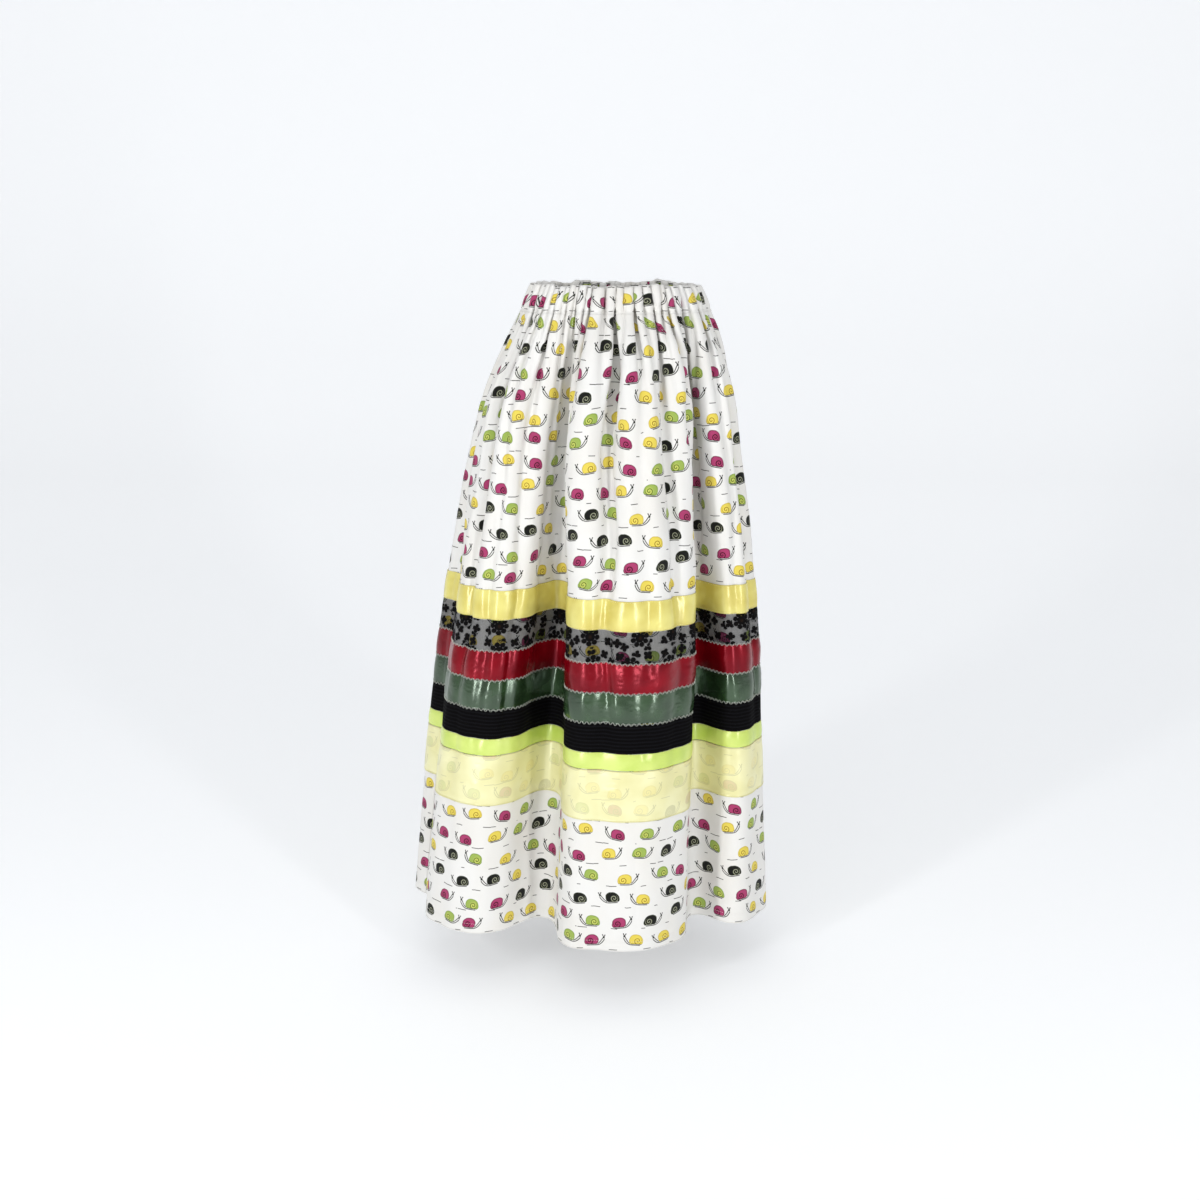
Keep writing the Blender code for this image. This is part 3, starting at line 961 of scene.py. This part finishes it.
def ribbon_stand(ribbon, share, drop):
    """How far the ribbon's inner face stands off the cotton at each column, at a share of its width."""
    swell = math.sin(math.pi * share) ** 0.7
    seed = 10.0 * RIBBON_NODES.index(ribbon.label)
    stand = []
    for across in ACROSS:
        wander = 0.012 * noise.noise(Vector((across * 24, drop * 50, seed + 5)))
        wave = noise.noise(Vector(((across + wander) * ribbon.ripples, drop * 10, seed)))
        stand.append(RIBBON_LIFT + swell * (ribbon.bulge + ribbon.ripple * (0.5 + wave)))
    return np.maximum(np.array(stand), RIBBON_LIFT)


RIBBON_SHARES = (0, 0.03, 0.10, 0.22, 0.38, 0.55, 0.72, 0.86, 0.95, 1)
EDGE_INSET = 0.0002
for ribbon in RIBBONS:
    top, bottom = ribbon_span[ribbon.label]
    drops = [top + EDGE_INSET + (bottom - top - 2 * EDGE_INSET) * share for share in RIBBON_SHARES]
    stands = [ribbon_stand(ribbon, share, drop) for share, drop in zip(RIBBON_SHARES, drops)]
    inner = np.array([cloth_row(drop, stand) for drop, stand in zip(drops, stands)])
    outer = np.array([cloth_row(drop, stand + RIBBON_WALL) for drop, stand in zip(drops, stands)])
    name = f"{ribbon.label}_ribbon_cloth"
    piece = cloth_mesh(name, outer, inner, drops, True, (0, CUT_WIDTH), (ribbon_materials[ribbon.label],))
    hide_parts(f"{ribbon.label}_ribbon")
    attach(piece, "root")

# --- Stitching -----------------------------------------------------------------------------------
# Polyester thread. A pale zigzag joins the lace to the red, the red to the green and the green to
# the black, and plain rows of matching thread hold the other edges, the casing and the hem.


def stitch_tree():
    tree = bpy.data.node_groups.new("Stitching", "GeometryNodeTree")
    sockets = [
        ("Geometry", "NodeSocketGeometry", None),
        ("Spacing", "NodeSocketFloat", 0.003),
        ("Stitch length", "NodeSocketFloat", 0.002),
        ("Thread width", "NodeSocketFloat", 0.0005),
        ("Slant", "NodeSocketFloat", 0.0),
        ("Thread", "NodeSocketMaterial", None),
    ]
    for label, kind, value in sockets:
        socket = tree.interface.new_socket(name=label, in_out="INPUT", socket_type=kind)
        if value is not None:
            socket.default_value = value
    tree.interface.new_socket(name="Geometry", in_out="OUTPUT", socket_type="NodeSocketGeometry")
    given = tree.nodes.new("NodeGroupInput").outputs
    result = tree.nodes.new("NodeGroupOutput").inputs

    def add(kind, links=(), **settings):
        node = tree.nodes.new(kind)
        for key, value in settings.items():
            setattr(node, key, value)
        for label, value in links:
            feed(tree, node.inputs[label], value)
        return node

    line = add("GeometryNodeMeshToCurve", [(0, given["Geometry"])])
    spacing = [("Curve", line.outputs[0]), ("Length", given["Spacing"])]
    evenly = add("GeometryNodeResampleCurve", spacing, mode="LENGTH")
    tangent = add("GeometryNodeInputTangent")
    out = add("GeometryNodeInputNamedAttribute", [("Name", "outward")], data_type="FLOAT_VECTOR")
    facing = add(
        "FunctionNodeAxesToRotation",
        [(0, tangent.outputs[0]), (1, out.outputs[0])],
        primary_axis="X",
        secondary_axis="Z",
    )
    number = add("GeometryNodeInputIndex")
    odd = add("ShaderNodeMath", [(0, number.outputs[0]), (1, 2.0)], operation="MODULO")
    sign = add("ShaderNodeMath", [(0, odd.outputs[0]), (1, 2.0), (2, -1.0)], operation="MULTIPLY_ADD")
    slant = add("ShaderNodeMath", [(0, sign.outputs[0]), (1, given["Slant"])], operation="MULTIPLY")
    turn = add("FunctionNodeAxisAngleToRotation", [("Axis", (0, 0, 1)), ("Angle", slant.outputs[0])])
    angles = [(0, facing.outputs[0]), (1, turn.outputs[0])]
    turned = add("FunctionNodeRotateRotation", angles, rotation_space="LOCAL")
    sizes = [(0, given["Stitch length"]), (1, given["Thread width"]), (2, given["Thread width"])]
    size = add("ShaderNodeCombineXYZ", sizes)
    stitch = add("GeometryNodeMeshIcoSphere", [("Radius", 0.5), ("Subdivisions", 1)])
    laid = add(
        "GeometryNodeInstanceOnPoints",
        [
            ("Points", evenly.outputs[0]),
            ("Instance", stitch.outputs[0]),
            ("Rotation", turned.outputs[0]),
            ("Scale", size.outputs[0]),
        ],
    )
    real = add("GeometryNodeRealizeInstances", [(0, laid.outputs[0])])
    smooth = add("GeometryNodeSetShadeSmooth", [(0, real.outputs[0])])
    finish = [("Geometry", smooth.outputs[0]), ("Material", given["Thread"])]
    coloured = add("GeometryNodeSetMaterial", finish)
    tree.links.new(coloured.outputs[0], result[0])
    return tree


stitches = stitch_tree()


def make_thread(name, colour):
    material, tree, shader = new_material(name, Roughness=0.55, Sheen_Weight=0.3, Specular_IOR_Level=0.4)
    node = tree.nodes.new("ShaderNodeTexCoord")
    x, y, z = split_vector(tree, node.outputs["Object"])
    # Darker bands along the twist of the thread: painted shade in the grooves between its plies, a darker
    # copy of the thread's own colour.
    twist = ((x + y) * 5200 + z * 6100).math("SINE")
    shade = mixed(tree, twist.between(-0.6, 0.8), tuple(part * 0.72 for part in colour), colour)
    tree.links.new(shade, shader.inputs["Base Color"])
    return material


threads = {
    "pale": make_thread("pale_thread", srgb("D3D8CC")),
    "yellow": make_thread("yellow_thread", srgb("EDE39A")),
    "white": make_thread("white_thread", srgb("F2F1EC")),
}
# Row of stitching: its drop and how far out, the zigzag's height or nought, how far apart the
# stitches are, how thick the thread is, and its colour.
Row = namedtuple("Row", "name drop out zigzag spacing width colour")


def plain_row(name, drop, spacing=0.0032):
    return Row(name, drop, 0.0012, 0, spacing, 0.0006, "yellow")


def zigzag_row(name, drop):
    return Row(name, drop, 0.0014, 0.0048, 0.0034, 0.0007, "pale")


STITCH_ROWS = [
    Row("casing_stitching", CASING_STITCHED, -0.0002, 0, 0.0030, 0.0005, "white"),
    plain_row("yellow_top_stitching", ribbon_span["yellow"][0] + 0.0016),
    plain_row("yellow_lower_stitching", ribbon_span["yellow"][1] - 0.0016),
    zigzag_row("lace_red_zigzag", ribbon_span["red"][0]),
    zigzag_row("red_green_zigzag", ribbon_span["green"][0]),
    zigzag_row("green_black_zigzag", ribbon_span["black"][0]),
    plain_row("black_lime_stitching", ribbon_span["lime"][0] + 0.0014),
    plain_row("lime_pale_stitching", ribbon_span["pale"][0] + 0.0012),
    plain_row("pale_lower_stitching", ribbon_span["pale"][1] - 0.0018, 0.0036),
    Row("hem_stitching", HEM_LINE, 0, 0, 0.0032, 0.0004, "white"),
]
for row in STITCH_ROWS:
    on_casing = row.drop < CASING_HEIGHT
    points = casing_row(row.out, row.drop, 0) if on_casing else cloth_row(row.drop, row.out)
    mesh = bpy.data.meshes.new(row.name + "_line")
    order = np.arange(COLUMNS)
    mesh.from_pydata(points.tolist(), np.stack([order, (order + 1) % COLUMNS], axis=1).tolist(), [])
    normals = np.column_stack([ring(row.drop)[:, 2:], np.zeros(COLUMNS)]).astype(np.float32)
    mesh.attributes.new("outward", "FLOAT_VECTOR", "POINT").data.foreach_set("vector", normals.ravel())
    line = bpy.data.objects.new(row.name + "_line", mesh)
    scene.collection.objects.link(line)
    modifier = line.modifiers.new("Stitching", "NODES")
    modifier.node_group = stitches
    length = math.hypot(row.spacing, row.zigzag) if row.zigzag else row.spacing * 0.72
    values = {
        "Spacing": row.spacing,
        "Stitch length": length,
        "Thread width": row.width,
        "Slant": math.atan2(row.zigzag, row.spacing),
        "Thread": threads[row.colour],
    }
    for socket in stitches.interface.items_tree:
        if socket.in_out == "INPUT" and socket.name in values:
            modifier[socket.identifier] = values[socket.name]
    graph = bpy.context.evaluated_depsgraph_get()
    made = bpy.data.meshes.new_from_object(line.evaluated_get(graph))
    bpy.data.objects.remove(line)
    made.name = row.name
    piece = bpy.data.objects.new(row.name, made)
    scene.collection.objects.link(piece)
    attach(piece, "root")

held_by = {
    "yellow": ["yellow_top_stitching", "yellow_lower_stitching"],
    "lace": [],
    "red": ["lace_red_zigzag"],
    "green": ["red_green_zigzag"],
    "black": ["green_black_zigzag"],
    "lime": ["black_lime_stitching"],
    "pale": ["lime_pale_stitching", "pale_lower_stitching"],
}
for label, names in held_by.items():
    top, bottom = ribbon_span[label]

# --- Floor, light and camera ---------------------------------------------------------------------
# A plain pale floor that sweeps up behind, two tall lamps in front and a soft one above, and the
# camera at eye level, looking a little down.

FLOOR_Z = TOP_Z - LENGTH - 0.075
SWEEP = [(-6.0, 0.0), (1.6, 0.0), (2.2, 0.06), (2.7, 0.25), (3.0, 0.60), (3.15, 1.1), (3.2, 2.0), (3.2, 5.0)]
mesh = bpy.data.meshes.new("floor")
points, faces = [], []
for y, height in SWEEP:
    points += [(-7.0, y, FLOOR_Z + height), (7.0, y, FLOOR_Z + height)]
for place in range(len(SWEEP) - 1):
    low = 2 * place
    faces.append((low, low + 1, low + 3, low + 2))
mesh.from_pydata(points, [], faces)
mesh.shade_smooth()
floor = bpy.data.objects.new("floor", mesh)
scene.collection.objects.link(floor)
floor_material, _, floor_shader = new_material("floor", Roughness=0.95, Specular_IOR_Level=0.1)
floor_shader.inputs["Base Color"].default_value = (0.86, 0.87, 0.885, 1)
floor_shader.inputs["Emission Color"].default_value = (0.985, 0.992, 1, 1)
floor_shader.inputs["Emission Strength"].default_value = 0.27
mesh.materials.append(floor_material)

world = bpy.data.worlds.new("studio")
world.use_nodes = True
world.node_tree.nodes["Background"].inputs["Color"].default_value = (0.93, 0.95, 0.975, 1)
world.node_tree.nodes["Background"].inputs["Strength"].default_value = 0.53
scene.world = world

SKIRT_MIDDLE = Vector((0, 0, -0.40))
# Lamp: where it is, its width and height, and its power in watts. Each one faces the skirt.
for name, place, size, power in (
    ("left_lamp", (-1.9, -2.4, 0.1), (0.26, 1.8), 33),
    ("right_lamp", (1.5, -2.6, 0.1), (0.22, 1.8), 27),
    ("top_lamp", (-0.3, -1.3, 1.3), (1.2, 0.8), 4.5),
):
    lamp = bpy.data.lights.new(name, "AREA")
    lamp.shape = "RECTANGLE"
    lamp.size, lamp.size_y = size
    lamp.energy = power
    holder = bpy.data.objects.new(name, lamp)
    holder.location = place
    holder.rotation_euler = (SKIRT_MIDDLE - Vector(place)).to_track_quat("-Z", "Y").to_euler()
    scene.collection.objects.link(holder)

LOOKING_DOWN = 12.95  # degrees
camera = bpy.data.cameras.new("camera")
camera.sensor_width = 36
camera.lens = 48.66
view = bpy.data.objects.new("camera", camera)
view.location = (-0.0191, -2.10, TOP_Z + 0.070)
view.rotation_euler = (math.radians(90 - LOOKING_DOWN), 0, 0)
scene.collection.objects.link(view)
scene.camera = view
scene.view_settings.view_transform = "Standard"
